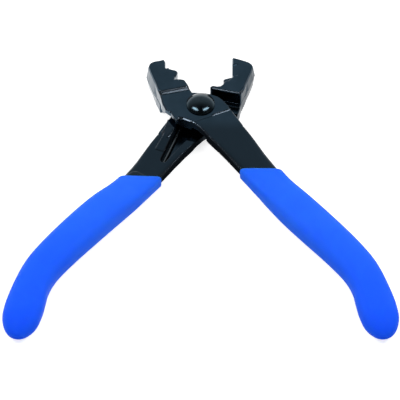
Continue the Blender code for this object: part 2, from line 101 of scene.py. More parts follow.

# Grips
DIP_LINE = 35.4 * MM
NEAR_DIP = 1.5 * MM             # the grip's inner side is found this close to the dip line
GRIP_WALL = 2.0 * MM
GRIP_END_ROUND = 11.0 * MM      # length over which its end rounds off
GRIP_END_LEFT = 0.012           # share of that length left at the last row, so that the row isn't a point
DIP_CORNER = 3.2 * MM           # the inner corner of the dip line
LIP_ROUND = 0.7 * MM            # of the rolled lip at the dip line
LIP_STEPS = 4
DIP_ROWS = 10
GRIP_SIDES = 72
GRIP_STEPS = 8
END_SHADE_RUN = 25.0 * MM            # from the dip line to where the painted shade towards the handle's end starts
HANDLE_REACH = 123.0 * MM
# Along the handle: across and down as shares of its reach, and how far it has settled from shank level to mid-plane
HANDLE_SHARES = (
    (0.137, -0.188, 0.0), (0.173, -0.245, 0.0), (0.215, -0.303, 0.1), (0.265, -0.369, 0.5),
    (0.324, -0.435, 0.88), (0.391, -0.512, 1.0), (0.467, -0.603, 1.0), (0.524, -0.680, 1.0),
    (0.553, -0.732, 1.0), (0.573, -0.784, 1.0), (0.585, -0.828, 1.0), (0.596, -0.872, 1.0),
    (0.606, -0.913, 1.0), (0.614, -0.958, 1.0), (0.617, -0.995, 1.0),
)
# At the same places: the handle's half width as a share of the shank's, the dip's thickness as a share of its wall,
# and how square the section is, where 2 is an ellipse
SHANK_HALF_WIDTH = 7.4 * MM
HALF_WIDTH_SHARES = (
    0.96, 0.912, 0.86, 0.79, 0.80, 0.815, 0.80, 0.77, 0.745, 0.75, 0.80, 0.815, 0.77, 0.72, 0.70,
)
TANG_HALF_THICKNESS = 4.2 * MM
GRIP_WALL_SHARES = (0.4, 0.45, 0.5, 0.75, 0.95, 1.0, 1.0, 1.0, 1.0, 1.0, 1.0, 1.05, 1.1, 1.1, 1.1)
SQUARENESS = (9, 6, 4.8, 4.0, 3.4, 3.0, 2.8, 2.7, 2.7, 2.7, 2.7, 2.6, 2.4, 2.2, 2.1)

# Rivet
RIVET_RADIUS = 4.0 * MM
RIVET_HEAD_RADIUS = 6.05 * MM
RIVET_HEAD_HEIGHT = 2.5 * MM
RIVET_TAIL_RADIUS = 5.2 * MM
RIVET_TAIL_HEIGHT = 0.6 * MM
RIVET_ROLL = 0.25 * MM          # of the rims of head and tail
DOME_RINGS = 24
RIVET_SIDES = 96
FIT_GAP = 0.3 * MM

# Spring
WIRE_DIAMETER = 1.3 * MM
WIRE_RESOLUTION = 6
WIRE_END_TURNS = (25, 45, 60, 73, 83)   # degrees round the wire's tumbled ends
COIL_RADIUS = 5.5 * MM
COIL_FULL_TURNS = 2
COIL_POINTS = 48
LEG_LENGTH = 29.5 * MM
LEG_STEPS = 8
LEG_ANGLE = math.radians(20.7)
LEG_LEVEL = 8.8 * MM

# Studio light, in shares of the level at which white paper is white
ROOM_FRONT, ROOM_BACK = 0.04, 0.88
ROOM_TURN = (-0.15, 0.85)       # the share of a direction that points back, where the room is dark and where bright
ROOM_LOW = 1.3                  # more, low down in the room
ROOM_LOW_TOP = 0.45             # the share of a direction that points up, where that ends
PAPER_LIFT = 0.75
# Painted reflection: the paper glows more for glossy rays at the left of the tool and less at the right, so the steel
# mirrors it lighter at the left
LEFT_REFLECTION_LIFT, RIGHT_REFLECTION_DROP = 0.45, 0.35
REFLECTION_RAMP_WIDTH = 15 * MM
FLOOR_REACH = 6.0
FLOOR_GAP = 0.02 * MM           # keeps the paper clear of the tool's underside
SOFTBOX_LEVEL = 16.0
SOFTBOX_SIZE = (1.0, 0.25)
SOFTBOX_DISTANCE = 1.5
SOFTBOX_WAY = (0.47, -0.18, 0.81)       # from the pivot to the middle of the right softbox
SOFTBOX_RUN = (-0.56, -0.56, 0.32)      # its long side

# Camera: a long lens straight in front, framed as in the photograph
CAMERA_ELEVATION = math.radians(50.0)
CAMERA_DISTANCE = 4.0
CAMERA_SEES_TO = 50.0
PIXELS_PER_MM = 2.37
PIVOT_SEEN_AT = (200.6, 104.3)  # pixels across and down, at the joint's face


def linear(hex_colour):
    """An sRGB hex colour as linear red, green, blue and a full alpha."""
    parts = [int(hex_colour[i:i + 2], 16) / 255 for i in (1, 3, 5)]
    return [p / 12.92 if p <= 0.04045 else ((p + 0.055) / 1.055) ** 2.4 for p in parts] + [1.0]


def add_node(tree, kind, settings=None, **inputs):
    """Adds a node with its settings, and values or links for its inputs: by name, with underscores for spaces, or
    by number, as i0."""
    node = tree.nodes.new(kind)
    for key, value in (settings or {}).items():
        setattr(node, key, value)
    for key, value in inputs.items():
        numbered = key[0] == "i" and key[1:].isdigit()
        socket = node.inputs[int(key[1:]) if numbered else key.replace("_", " ")]
        if isinstance(value, bpy.types.NodeSocket):
            tree.links.new(value, socket)
        else:
            socket.default_value = value
    return node


def new_material(name, colour, roughness, metallic):
    """A material with its Principled shader set to uniform values; returns the material, its tree and shader."""
    made = bpy.data.materials.new(name)
    made.use_nodes = True
    shader = made.node_tree.nodes["Principled BSDF"]
    shader.inputs["Base Color"].default_value = linear(colour)
    shader.inputs["Roughness"].default_value = roughness
    shader.inputs["Metallic"].default_value = metallic
    return made, made.node_tree, shader


def black_oxide_steel():
    """Drop-forged steel, tumbled and blackened: satin blue-black jaws and joint, shanks of a darker colour whose
    upright sides carry near-black painted shade and are matt and no metal, and slopes and edges in a lighter grey
    that is partly worn oxide and partly painted highlight."""
    made, tree, shader = new_material("black_oxide_forged_steel", "#2b3c49", 0.18, 1.0)
    place = add_node(tree, "ShaderNodeTexCoord").outputs["Object"]
    surface = add_node(tree, "ShaderNodeNewGeometry").outputs
    # Forging scale is about 0.6 mm across and the tumbled grain 0.15 mm: both are drawn coarser, so that they show.
    # The oxide takes in patches of about 9 mm
    scale = add_node(tree, "ShaderNodeTexNoise", Vector=place, Scale=1 / (1.6 * MM), Detail=4.0, Roughness=0.6)
    grain = add_node(tree, "ShaderNodeTexNoise", Vector=place, Scale=1 / (0.45 * MM), Detail=2.0)
    patch = add_node(tree, "ShaderNodeTexNoise", Vector=place, Scale=1 / (9.0 * MM), Detail=3.0)
    along = add_node(tree, "ShaderNodeSeparateXYZ", i0=place).outputs["Y"]
    facing = add_node(tree, "ShaderNodeSeparateXYZ", i0=surface["Normal"]).outputs["Z"]
    tone = add_node(tree, "ShaderNodeValToRGB", Fac=patch.outputs["Fac"])
    tone.color_ramp.elements[0].position, tone.color_ramp.elements[1].position = 0.3, 0.72
    tone.color_ramp.elements[0].color = linear("#273844")
    tone.color_ramp.elements[1].color = linear("#2f414f")
    # The colour turns darker along the shank, away from the joint
    shank = add_node(tree, "ShaderNodeMapRange", {"interpolation_type": "SMOOTHSTEP"}, i0=along,
                     i1=PIVOT_Y + SHANK_ZONE[0], i2=PIVOT_Y + SHANK_ZONE[1], i3=0.0, i4=1.0)
    darker_along_shank = add_node(tree, "ShaderNodeMix", {"data_type": "RGBA"}, i0=shank.outputs[0],
                      i6=tone.outputs["Color"], i7=linear("#222f39"))
    level = add_node(tree, "ShaderNodeMath", {"operation": "ABSOLUTE"}, i0=facing)
    upright = add_node(tree, "ShaderNodeMapRange", i0=level.outputs[0], i1=SHADED_SIDE_ZONE[0], i2=SHADED_SIDE_ZONE[1],
                       i3=0.0, i4=1.0)
    # Painted shade: the shank's upright sides are mixed to near black
    side = add_node(tree, "ShaderNodeMath", {"operation": "MULTIPLY"}, i0=upright.outputs[0], i1=shank.outputs[0])
    with_painted_shade = add_node(tree, "ShaderNodeMix", {"data_type": "RGBA"}, i0=side.outputs[0],
                      i6=darker_along_shank.outputs[2], i7=linear("#12161a"))
    # Slopes and rounded edges, which stand between level and upright, take a lighter grey: partly wear, partly
    # painted highlight that brightens and whitens their glints
    off_level = add_node(tree, "ShaderNodeMapRange", i0=level.outputs[0], i1=SLOPE_ZONE[0], i2=SLOPE_ZONE[1],
                         i3=0.0, i4=1.0)
    off_upright = add_node(tree, "ShaderNodeMapRange", i0=level.outputs[0], i1=SLOPE_END_ZONE[0],
                           i2=SLOPE_END_ZONE[1], i3=0.0, i4=1.0)
    sloping = add_node(tree, "ShaderNodeMath", {"operation": "MULTIPLY"}, i0=off_level.outputs[0],
                       i1=off_upright.outputs[0])
    wear_and_sheen_reach = add_node(tree, "ShaderNodeMapRange", i0=along, i1=PIVOT_Y + WEAR_AND_SHEEN_ZONE[0],
                       i2=PIVOT_Y + WEAR_AND_SHEEN_ZONE[1], i3=0.0, i4=1.0)
    wear_and_sheen = add_node(tree, "ShaderNodeMath", {"operation": "MULTIPLY"}, i0=sloping.outputs[0], i1=wear_and_sheen_reach.outputs[0])
    wear_and_sheen_grey = add_node(tree, "ShaderNodeMix", {"data_type": "RGBA"}, i0=wear_and_sheen.outputs[0],
                     i6=with_painted_shade.outputs[2], i7=linear("#343b42"))
    tree.links.new(wear_and_sheen_grey.outputs[2], shader.inputs["Base Color"])
    # The shank's upright sides, painted near-black as shade, are also matt and no metal; the rest is satin, rougher
    # on those sides
    metal_off_shaded_sides = add_node(tree, "ShaderNodeMath", {"operation": "SUBTRACT"}, i0=1.0, i1=side.outputs[0])
    tree.links.new(metal_off_shaded_sides.outputs[0], shader.inputs["Metallic"])
    shader.inputs["Specular IOR Level"].default_value = 0.0
    rough = add_node(tree, "ShaderNodeMapRange", i0=scale.outputs["Fac"], i1=0.3, i2=0.7, i3=0.15, i4=0.22)
    rougher_on_shaded_sides = add_node(tree, "ShaderNodeMath", {"operation": "MULTIPLY_ADD"}, i0=side.outputs[0], i1=0.4,
                            i2=rough.outputs[0])
    tree.links.new(rougher_on_shaded_sides.outputs[0], shader.inputs["Roughness"])
    height = add_node(tree, "ShaderNodeMath", {"operation": "ADD"}, i0=scale.outputs["Fac"], i1=grain.outputs["Fac"])
    bump = add_node(tree, "ShaderNodeBump", Strength=0.15, Distance=0.04 * MM, Height=height.outputs[0])
    tree.links.new(bump.outputs["Normal"], shader.inputs["Normal"])
    return made


def rivet_steel():
    """Cold-headed rivet, blackened with the levers: smoother than the forgings, with a faint grain."""
    made, tree, shader = new_material("blackened_headed_rivet", "#2f393e", 0.14, 1.0)
    place = add_node(tree, "ShaderNodeTexCoord").outputs["Object"]
    # The heading die leaves a grain of about 0.3 mm, drawn coarser so that it shows
    grain = add_node(tree, "ShaderNodeTexNoise", Vector=place, Scale=1 / (0.8 * MM), Detail=3.0)
    tone = add_node(tree, "ShaderNodeValToRGB", Fac=grain.outputs["Fac"])
    tone.color_ramp.elements[0].position, tone.color_ramp.elements[1].position = 0.3, 0.7
    tone.color_ramp.elements[0].color = linear("#29353b")
    tone.color_ramp.elements[1].color = linear("#2f3b42")
    tree.links.new(tone.outputs["Color"], shader.inputs["Base Color"])
    rough = add_node(tree, "ShaderNodeMapRange", i0=grain.outputs["Fac"], i1=0.3, i2=0.7, i3=0.12, i4=0.17)
    tree.links.new(rough.outputs[0], shader.inputs["Roughness"])
    bump = add_node(tree, "ShaderNodeBump", Strength=0.12, Distance=0.04 * MM, Height=grain.outputs["Fac"])
    tree.links.new(bump.outputs["Normal"], shader.inputs["Normal"])
    return made


def spring_wire():
    """Drawn music wire with a thin oil film: greyer and paler than the forgings, with a soft gloss that the dried oil
    makes uneven; the drawn lines are too fine to see."""
    made, tree, shader = new_material("oiled_music_wire", "#535b60", 0.25, 1.0)
    place = add_node(tree, "ShaderNodeTexCoord").outputs["Object"]
    # The spots of oil are about 2 mm across
    stain = add_node(tree, "ShaderNodeTexNoise", Vector=place, Scale=1 / (2.0 * MM), Detail=3.0)
    rough = add_node(tree, "ShaderNodeMapRange", i0=stain.outputs["Fac"], i1=0.3, i2=0.7, i3=0.2, i4=0.34)
    tree.links.new(rough.outputs[0], shader.inputs["Roughness"])
    return made


def dipped_vinyl():
    """Plastisol dip, cured on the warm tang: bright blue with a satin skin and a faint orange-peel, and painted shade
    that darkens the blue towards the handle's end. Light goes some millimetres into it, so that its sides are nearly
    as bright as its top."""
    made, tree, shader = new_material("blue_plastisol_dip", "#2367ff", 0.52, 0.0)
    shader.inputs["IOR"].default_value = 1.53
    shader.inputs["Specular IOR Level"].default_value = 0.04
    shader.inputs["Subsurface Weight"].default_value = 0.6
    shader.inputs["Subsurface Radius"].default_value = (0.2, 0.5, 1.0)
    shader.inputs["Subsurface Scale"].default_value = 5 * MM
    place = add_node(tree, "ShaderNodeTexCoord").outputs["Object"]
    # The orange-peel's dimples are about 1.3 mm apart, and the colour drifts over about 22 mm
    peel = add_node(tree, "ShaderNodeTexNoise", Vector=place, Scale=1 / (1.3 * MM), Detail=2.0)
    drift = add_node(tree, "ShaderNodeTexNoise", Vector=place, Scale=1 / (22.0 * MM), Detail=2.0)
    tone = add_node(tree, "ShaderNodeValToRGB", Fac=drift.outputs["Fac"])
    tone.color_ramp.elements[0].position, tone.color_ramp.elements[1].position = 0.3, 0.7
    tone.color_ramp.elements[0].color = linear("#2366fd")
    tone.color_ramp.elements[1].color = linear("#276bff")
    # Painted shade: the blue turns darker towards the handle's end
    along = add_node(tree, "ShaderNodeSeparateXYZ", i0=place).outputs["Y"]
    painted_shade_to_end = add_node(tree, "ShaderNodeMapRange", i0=along, i1=PIVOT_Y - DIP_LINE - END_SHADE_RUN,
                      i2=PIVOT_Y - HANDLE_REACH, i3=0.0, i4=1.0)
    shaded_blue_to_end = add_node(tree, "ShaderNodeMix", {"data_type": "RGBA"}, i0=painted_shade_to_end.outputs[0],
                      i6=tone.outputs["Color"], i7=linear("#1557fd"))
    tree.links.new(shaded_blue_to_end.outputs[2], shader.inputs["Base Color"])
    bump = add_node(tree, "ShaderNodeBump", Strength=0.1, Distance=0.05 * MM, Height=peel.outputs["Fac"])
    tree.links.new(bump.outputs["Normal"], shader.inputs["Normal"])
    return made


def in_scene(name, data):
    """A new object with its data, put in the scene."""
    made = bpy.data.objects.new(name, data)
    bpy.context.scene.collection.objects.link(made)
    return made


def as_mesh(name, shape):
    """A mesh made of a finished bmesh, which goes."""
    mesh = bpy.data.meshes.new(name)
    shape.to_mesh(mesh)
    shape.free()
    return mesh


def add_piece(name, mesh, material, body, node):
    """Puts a finished mesh in the scene as a piece that stands for a CAD node; no body leaves it to be blended."""
    made = in_scene(name, mesh)
    mesh.materials.clear()
    mesh.materials.append(material)
    mesh.shade_smooth()
    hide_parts(node)
    if body:
        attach(made, body)
    return made


def turned_over(mesh):
    """A copy of a mesh made for the front lever, turned half a turn about the tool's long axis."""
    copy = mesh.copy()
    for vertex in copy.vertices:
        vertex.co = Vector((-vertex.co.x, vertex.co.y, HEAD_THICKNESS - vertex.co.z))
    return copy


def applied(source):
    """The object's mesh with its modifiers applied; the object goes."""
    bpy.context.view_layer.update()
    seen = source.evaluated_get(bpy.context.evaluated_depsgraph_get())
    mesh = bpy.data.meshes.new_from_object(seen)
    bpy.data.objects.remove(source, do_unlink=True)
    return mesh


def dress_step(places):
    """Slopes the small step at the shank's root, and lets its left part run out into the face."""
    x, y, z = places.T
    past = x * math.sin(STEP_ANGLE) - (y - PIVOT_Y) * math.cos(STEP_ANGLE) - STEP_DISTANCE
    drop = PAD_FACE - SHANK_FACE
    sharp = np.clip((past + drop) / drop, 0, 1)
    sloped = np.interp(past / MM, *STEP_PROFILE)
    eased = np.clip((past + STEP_FAIRING) / (2 * STEP_FAIRING), 0, 1)
    eased = eased * eased * (3 - 2 * eased)
    run_out = np.clip((STEP_SEEN_FROM + STEP_FADE - x) / STEP_FADE, 0, 1)
    z += (z > SHANK_FACE - drop) * drop * (sharp - sloped - run_out * (eased - sloped))


def dress_wall(places):
    """Eases the shoulder above the joint, sharpens the wall's edge and turns the groove at its foot to a ledge."""
    x, y, z = places.T
    past = (y - PIVOT_Y) * math.cos(WALL_ANGLE) - x * math.sin(WALL_ANGLE) - WALL_DISTANCE
    blank = np.clip(past / WALL_CHAMFER, 1e-6, 1)
    above = (z > PAD_FACE) & (past > -WALL_CHAMFER)
    z[above] = PAD_FACE + (z[above] - PAD_FACE) * (np.clip(past / SHOULDER_WIDTH, 1e-6, 1) / blank)[above]
    left = WALL_EDGE_DROP * np.clip(1 - past / WALL_EDGE, 0, 1) / np.maximum(WALL_CHAMFER - past, GRAIN)
    under = (z < WALL_CHAMFER) & (past > -GRAIN) & (past < WALL_CHAMFER)
    z[under] *= left[under]
    across = (past + RELIEF_WIDTH) / MM
    rise = np.interp(across, *LEDGE_PROFILE) * MM
    groove = (across > LEDGE_PROFILE[0][0]) & (past < GRAIN) & (z > LAP_FACE - GRAIN)
    groove &= z < LAP_FACE + GRAIN + np.where(across > LEDGE_PROFILE[0][1], RELIEF_DEPTH, 0)
    z[groove] = LAP_FACE - rise[groove]


def dress_heel(places):
    """Brings the joint's left side to its worn outline and bevels the crotch above the spring."""
    x, y, z = places.T
    radius = np.hypot(x, y - PIVOT_Y)
    turn = np.degrees(np.arctan2(-(y - PIVOT_Y), -x)) + 180
    angles, amounts = np.array(CHEEK_OUT).T
    share = np.clip((radius - HEEL_ROOT_RADIUS) / (HEEL_RADIUS - HEEL_ROOT_RADIUS), 0, 1)
    wanted = radius + np.interp(turn, angles, amounts * MM) * share * share * (3 - 2 * share)
    angles, radii = np.array(HEEL_OUTLINE).T
    rim = np.interp(turn, angles, radii * MM)
    root = rim - HEEL_DRESSED
    blank = np.where(turn < SHOULDER_END, SHOULDER_RADIUS, HEEL_RADIUS)
    pressed = np.minimum(root + (radius - root) * HEEL_DRESSED / (blank - root), rim)
    heel = (turn > angles[0]) & (turn < angles[-1]) & (radius > root)
    wanted[heel] = pressed[heel]
    lift = HEEL_LIFT * np.clip((radius - root) / HEEL_DRESSED, 0, 1) * np.interp(turn, *zip(*HEEL_LIFT_SHARES))
    heel = (z > LAP_FACE - GRAIN) & (z < LAP_FACE + lift)
    z[heel] = (LAP_FACE + lift)[heel]
    x *= wanted / radius
    y[:] = PIVOT_Y + (y - PIVOT_Y) * wanted / radius
    line = np.array(CROTCH_LINE) * MM
    apart = np.full(len(x), CROTCH_BEVEL)
    for (x0, y0), (x1, y1) in zip(line, line[1:]):
        dx, dy = x1 - x0, y1 - y0
        along = np.clip(((x - x0) * dx + (y - PIVOT_Y - y0) * dy) / (dx * dx + dy * dy), 0, 1)
        apart = np.minimum(apart, np.hypot(x - x0 - along * dx, y - PIVOT_Y - y0 - along * dy))
    limit = PAD_FACE - (CROTCH_BEVEL - apart) * math.tan(CROTCH_BEVEL_TILT)
    low = (z > limit) & (apart < CROTCH_BEVEL)
    z[low] = limit[low]


def dress_flank(places, outward):
    """Runs the outer flank's flats into one sweep, with the fine line where the flash was trimmed."""
    x, y, z = places.T
    up = y - PIVOT_Y
    stations = np.arange(FLANK_FROM - 4 * FLANK_SWEEP, FLANK_TO + 2 * FLANK_SWEEP, FLANK_STEP)
    flank = (outward[:, 0] < -FLANK_FACING) & (x < -HEEL_ROOT_RADIUS) & (up > stations[0]) & (up < stations[-1])
    place = ((up[flank] - stations[0]) / FLANK_STEP).astype(int)
    found = np.bincount(place, minlength=len(stations)).astype(float)
    side = np.bincount(place, x[flank], len(stations)) / np.maximum(found, 1)
    side = np.interp(stations, stations[found > 0], side[found > 0])
    reach = int(3 * FLANK_SWEEP / FLANK_STEP)
    longer = np.pad(side, reach, "reflect", reflect_type="odd")
    beyond = np.arange(-reach, reach + 1) * FLANK_STEP
    side, swept = (np.convolve(longer, weights / weights.sum(), "valid")
                   for weights in (np.exp(-0.5 * (beyond / width) ** 2) for width in (2 * GRAIN, FLANK_SWEEP)))
    ends = np.clip((up - FLANK_FROM) / FLANK_SWEEP, 0, 1) * np.clip((FLANK_TO - up) / FLANK_SWEEP, 0, 1)
    near = np.clip(1 - (x - np.interp(up, stations, side)) / (2 * FLANK_SWEEP), 0, 1)
    flash = np.clip(1 - abs(z - FLASH_PLANE) / FLASH_HALF_WIDTH, 0, 1) * FLASH_DEPTH
    flash *= outward[:, 0] < -FLANK_FACING
    x += ends * near * (np.interp(up, stations, swept - side) + flash)


def worked_forging(node):
    """The lever's solid with its edges softened as forging and tumbling leave them."""
    blank = in_scene("forging_blank", node.data.copy())
    grain = blank.modifiers.new("Grain", "REMESH")
    grain.mode = "VOXEL"
    grain.voxel_size = GRAIN
    grain.adaptivity = 0.0
    filled = applied(blank)
    places, outward = np.empty((2, len(filled.vertices), 3))
    filled.vertices.foreach_get("co", places.ravel())
    filled.vertices.foreach_get("normal", outward.ravel())
    places[:, :2] += outward[:, :2] * SWELL
    dress_step(places)
    dress_wall(places)
    dress_heel(places)
    dress_flank(places, outward)
    beyond = np.clip((places[:, 1] - PIVOT_Y - WALL_DISTANCE) / WALL_DISTANCE, 0, 1)
    places[:, 1] += JAW_FULLNESS * beyond
    filled.vertices.foreach_set("co", places.ravel())
    full = in_scene("full_blank", filled)
    # Pressing merges the points that the dressing has brought together, and tumbling rounds every edge
    pressed = full.modifiers.new("Pressed", "WELD")
    pressed.merge_threshold = GRAIN / 3
    soft = full.modifiers.new("Tumbled", "SMOOTH")
    soft.factor = 0.5
    soft.iterations = SOFTENING_PASSES
    return applied(full)


def smooth(values, steps):
    """A Catmull-Rom run through numbers or vectors."""
    run = []
    last = len(values) - 1
    for i in range(last):
        before, here = values[max(i - 1, 0)], values[i]
        after, beyond = values[i + 1], values[min(i + 2, last)]
        for k in range(steps):
            t = k / steps
            run.append(here + (after - before) * (t / 2)
                       + (before - here * 2.5 + after * 2 - beyond * 0.5) * t ** 2
                       + (here * 1.5 - before * 0.5 - after * 1.5 + beyond * 0.5) * t ** 3)
    return run + [values[last]]


def dip_edge(x, inner):
    """How far down the handle the dip starts at a place across it; its inner corner has run round."""
    into = min(max(x - inner, 0.0), DIP_CORNER)
    return -DIP_LINE - DIP_CORNER + math.sqrt(DIP_CORNER ** 2 - (DIP_CORNER - into) ** 2)


def where_line_meets_dip(line, inner):
    """The place on a line along the grip where the dip starts, and the first of its points beyond."""
    for i in range(1, len(line)):
        over, under = (point.y - dip_edge(point.x, inner) for point in (line[i - 1], line[i]))
        if under <= 0:
            return line[i - 1].lerp(line[i], over / (over - under)), i
    return line[-1], len(line)


def grip_lines():
    """Lines along a grip's skin, one for each of its sides, from within the shank to the grip's round end."""
    shank_middle, shank_half = (LAP_FACE + SHANK_FACE) / 2, (SHANK_FACE - LAP_FACE) / 2
    middles, widths, thicks = [], [], []
    for (x, y, settled), wide, wall in zip(HANDLE_SHARES, HALF_WIDTH_SHARES, GRIP_WALL_SHARES):
        height = shank_middle + (MID_PLANE - shank_middle) * settled
        middles.append(Vector((x * HANDLE_REACH, y * HANDLE_REACH, height)))
        widths.append(SHANK_HALF_WIDTH * wide + GRIP_WALL * wall)
        thicks.append(shank_half + (TANG_HALF_THICKNESS - shank_half) * settled + GRIP_WALL * wall)
    middles, widths, thicks = smooth(middles, GRIP_STEPS), smooth(widths, GRIP_STEPS), smooth(thicks, GRIP_STEPS)
    squares = smooth(SQUARENESS, GRIP_STEPS)
    left = [0.0]
    for near, far in zip(middles[::-1], middles[-2::-1]):
        left.insert(0, left[0] + (near - far).length)
    turns = [2 * math.pi * (k + 0.5) / GRIP_SIDES for k in range(GRIP_SIDES)]
    lines = [[] for turn in turns]
    for i, (middle, wide, thick, square, rest) in enumerate(zip(middles, widths, thicks, squares, left)):
        along = middles[min(i + 1, len(middles) - 1)] - middles[max(i - 1, 0)]
        across = Vector((along.y, -along.x, 0)).normalized()
        near_end = min(max(rest / GRIP_END_ROUND, GRIP_END_LEFT), 1.0)
        narrow = math.sqrt(1 - (1 - near_end) ** 2)
        for line, turn in zip(lines, turns):
            c, s = math.cos(turn), math.sin(turn)
            out = math.copysign(abs(c) ** (2 / square), c) * wide * narrow
            up = math.copysign(abs(s) ** (2 / square), s) * thick * narrow
            line.append(middle + across * out + Vector((0, 0, up)))
    return lines


def dipped_grip():
    """One grip: a rounded sleeve along the handle from the dip line, with a rolled lip."""
    lines = grip_lines()
    inner = min(point.x for line in lines for point in line if abs(point.y + DIP_LINE) < NEAR_DIP)
    starts = [where_line_meets_dip(line, inner) for line in lines]
    kept_from = max(i for start, i in starts) + 2
    heart = sum((start for start, i in starts), Vector()) / GRIP_SIDES
    rows = [[] for step in range(LIP_STEPS + DIP_ROWS)]
    for k, ((start, i), line) in enumerate(zip(starts, lines)):
        after = line[kept_from]
        down = (after - start).normalized()
        inward = down.cross(starts[(k + 1) % GRIP_SIDES][0] - starts[k - 1][0]).normalized()
        inward *= math.copysign(1, inward.dot(heart - start))
        for step in range(LIP_STEPS):
            roll = math.pi / 2 * step / LIP_STEPS
            rows[step].append(start + down * LIP_ROUND * (1 - math.cos(roll))
                              + inward * LIP_ROUND * (1 - math.sin(roll)))
        for step in range(DIP_ROWS):
            share = step / DIP_ROWS
            rows[LIP_STEPS + step].append((start + down * LIP_ROUND).lerp(after, share))
    rows += [list(row) for row in zip(*(line[kept_from:] for line in lines))]
    shape = bmesh.new()
    rows = [[shape.verts.new(point) for point in row] for row in rows]
    for near, far in zip(rows, rows[1:]):
        for k in range(GRIP_SIDES):
            after = (k + 1) % GRIP_SIDES
            shape.faces.new((near[k], near[after], far[after], far[k]))
    for row in (rows[0], rows[-1]):
        for k in range(GRIP_SIDES // 2 - 1):
            shape.faces.new((row[k], row[k + 1], row[-k - 2], row[-k - 1]))
    bmesh.ops.recalc_face_normals(shape, faces=shape.faces)
    for vertex in shape.verts:
        vertex.co.y += PIVOT_Y
    return as_mesh("dipped_grip", shape)


def lathed(name, profile):
    """A closed solid turned round the pivot axis from (radius, height) points; a radius of zero is a pole."""
    shape = bmesh.new()
    rows = []
    for radius, height in profile:
        if radius == 0:
            rows.append([shape.verts.new((0, PIVOT_Y, height))])
        else:
            rows.append([shape.verts.new((radius * math.cos(a), PIVOT_Y + radius * math.sin(a), height))
                         for a in (2 * math.pi * k / RIVET_SIDES for k in range(RIVET_SIDES))])
    for low, high in zip(rows, rows[1:]):
        for k in range(RIVET_SIDES):
            after = (k + 1) % RIVET_SIDES
            ring = [low[k % len(low)], low[after % len(low)], high[after % len(high)], high[k % len(high)]]
            shape.faces.new(list(dict.fromkeys(ring)))
    bmesh.ops.recalc_face_normals(shape, faces=shape.faces)
    return as_mesh(name, shape)


def headed_rivet():
    """The rivet: low dome with a rolled rim, shank, and a tail peened flat."""
    cap = (RIVET_HEAD_RADIUS ** 2 + RIVET_HEAD_HEIGHT ** 2) / (2 * RIVET_HEAD_HEIGHT)
    under, lower = PAD_FACE + FIT_GAP, HEAD_THICKNESS - PAD_FACE - FIT_GAP
    opening = math.asin(RIVET_HEAD_RADIUS / cap)
    dome = [(cap * math.sin(turn), under + RIVET_HEAD_HEIGHT - cap * (1 - math.cos(turn)))
            for turn in (opening * i / DOME_RINGS for i in range(DOME_RINGS - 1, 0, -1))]
    tail = [(0, lower - RIVET_TAIL_HEIGHT), (RIVET_TAIL_RADIUS - 2 * RIVET_ROLL, lower - RIVET_TAIL_HEIGHT),
            (RIVET_TAIL_RADIUS - RIVET_ROLL / 2, lower - RIVET_TAIL_HEIGHT + RIVET_ROLL / 2),
            (RIVET_TAIL_RADIUS, lower - RIVET_ROLL), (RIVET_TAIL_RADIUS, lower)]
    shank = [(RIVET_RADIUS, lower), (RIVET_RADIUS, under)]
    rim = [(RIVET_HEAD_RADIUS - RIVET_ROLL, under), (RIVET_HEAD_RADIUS - RIVET_ROLL / 3, under + RIVET_ROLL / 3)]
    return lathed("headed_rivet", tail + shank + rim + dome + [(0, under + RIVET_HEAD_HEIGHT)])


def leg_point(distance, side, level):
    """A point on a spring leg, measured from where it leaves the coil."""
    start = Vector((math.cos(LEG_ANGLE), math.sin(LEG_ANGLE), 0)) * COIL_RADIUS
    point = start + Vector((math.sin(LEG_ANGLE), -math.cos(LEG_ANGLE), 0)) * distance
    return Vector((point.x * side, point.y + PIVOT_Y, level))


def wound_spring():
    """The torsion spring: one wire from the rear leg round the rivet to the front leg."""
    low = HEAD_THICKNESS - LEG_LEVEL
    start, end = math.pi - LEG_ANGLE, LEG_ANGLE - 2 * math.pi * COIL_FULL_TURNS
    steps = round((start - end) / (2 * math.pi) * COIL_POINTS)
    points = [leg_point(LEG_LENGTH * k / LEG_STEPS, -1, low) for k in range(LEG_STEPS, 0, -1)]
    for i in range(steps + 1):
        turn = start + (end - start) * i / steps
        points.append(Vector((COIL_RADIUS * math.cos(turn), COIL_RADIUS * math.sin(turn) + PIVOT_Y,
                              low + (LEG_LEVEL - low) * i / steps)))
    points += [leg_point(LEG_LENGTH * k / LEG_STEPS, 1, LEG_LEVEL) for k in range(1, LEG_STEPS + 1)]
    rounding = [math.radians(turn) for turn in WIRE_END_TURNS]
    for leg in ("front", "rear"):
        way = (points[-1] - points[-2]).normalized() * WIRE_DIAMETER / 2
        points += [points[-1] + way * math.sin(turn) for turn in rounding]
        points.reverse()
    wire = bpy.data.curves.new("wire", "CURVE")
    wire.dimensions = "3D"
    wire.bevel_depth = WIRE_DIAMETER / 2
    wire.bevel_resolution = WIRE_RESOLUTION
    wire.use_fill_caps = True
    spline = wire.splines.new("POLY")
    spline.points.add(len(points) - 1)
    for i, (spot, point) in enumerate(zip(spline.points, points)):
        spot.co = (*point, 1.0)
        left = min(i, len(points) - 1 - i)
        spot.radius = math.cos(rounding[-1 - left]) if left < len(rounding) else 1.0
    return applied(in_scene("wire", wire))


def seen_directly(tree):
    """1 where a camera, mirror or glass ray looks, 0 for the light that falls on the tool."""
    path = add_node(tree, "ShaderNodeLightPath").outputs
    first = add_node(tree, "ShaderNodeMath", {"operation": "MAXIMUM"}, i0=path["Is Camera Ray"],
                     i1=path["Is Glossy Ray"])
    return add_node(tree, "ShaderNodeMath", {"operation": "MAXIMUM"}, i0=first.outputs[0],
                    i1=path["Is Transmission Ray"]).outputs[0]


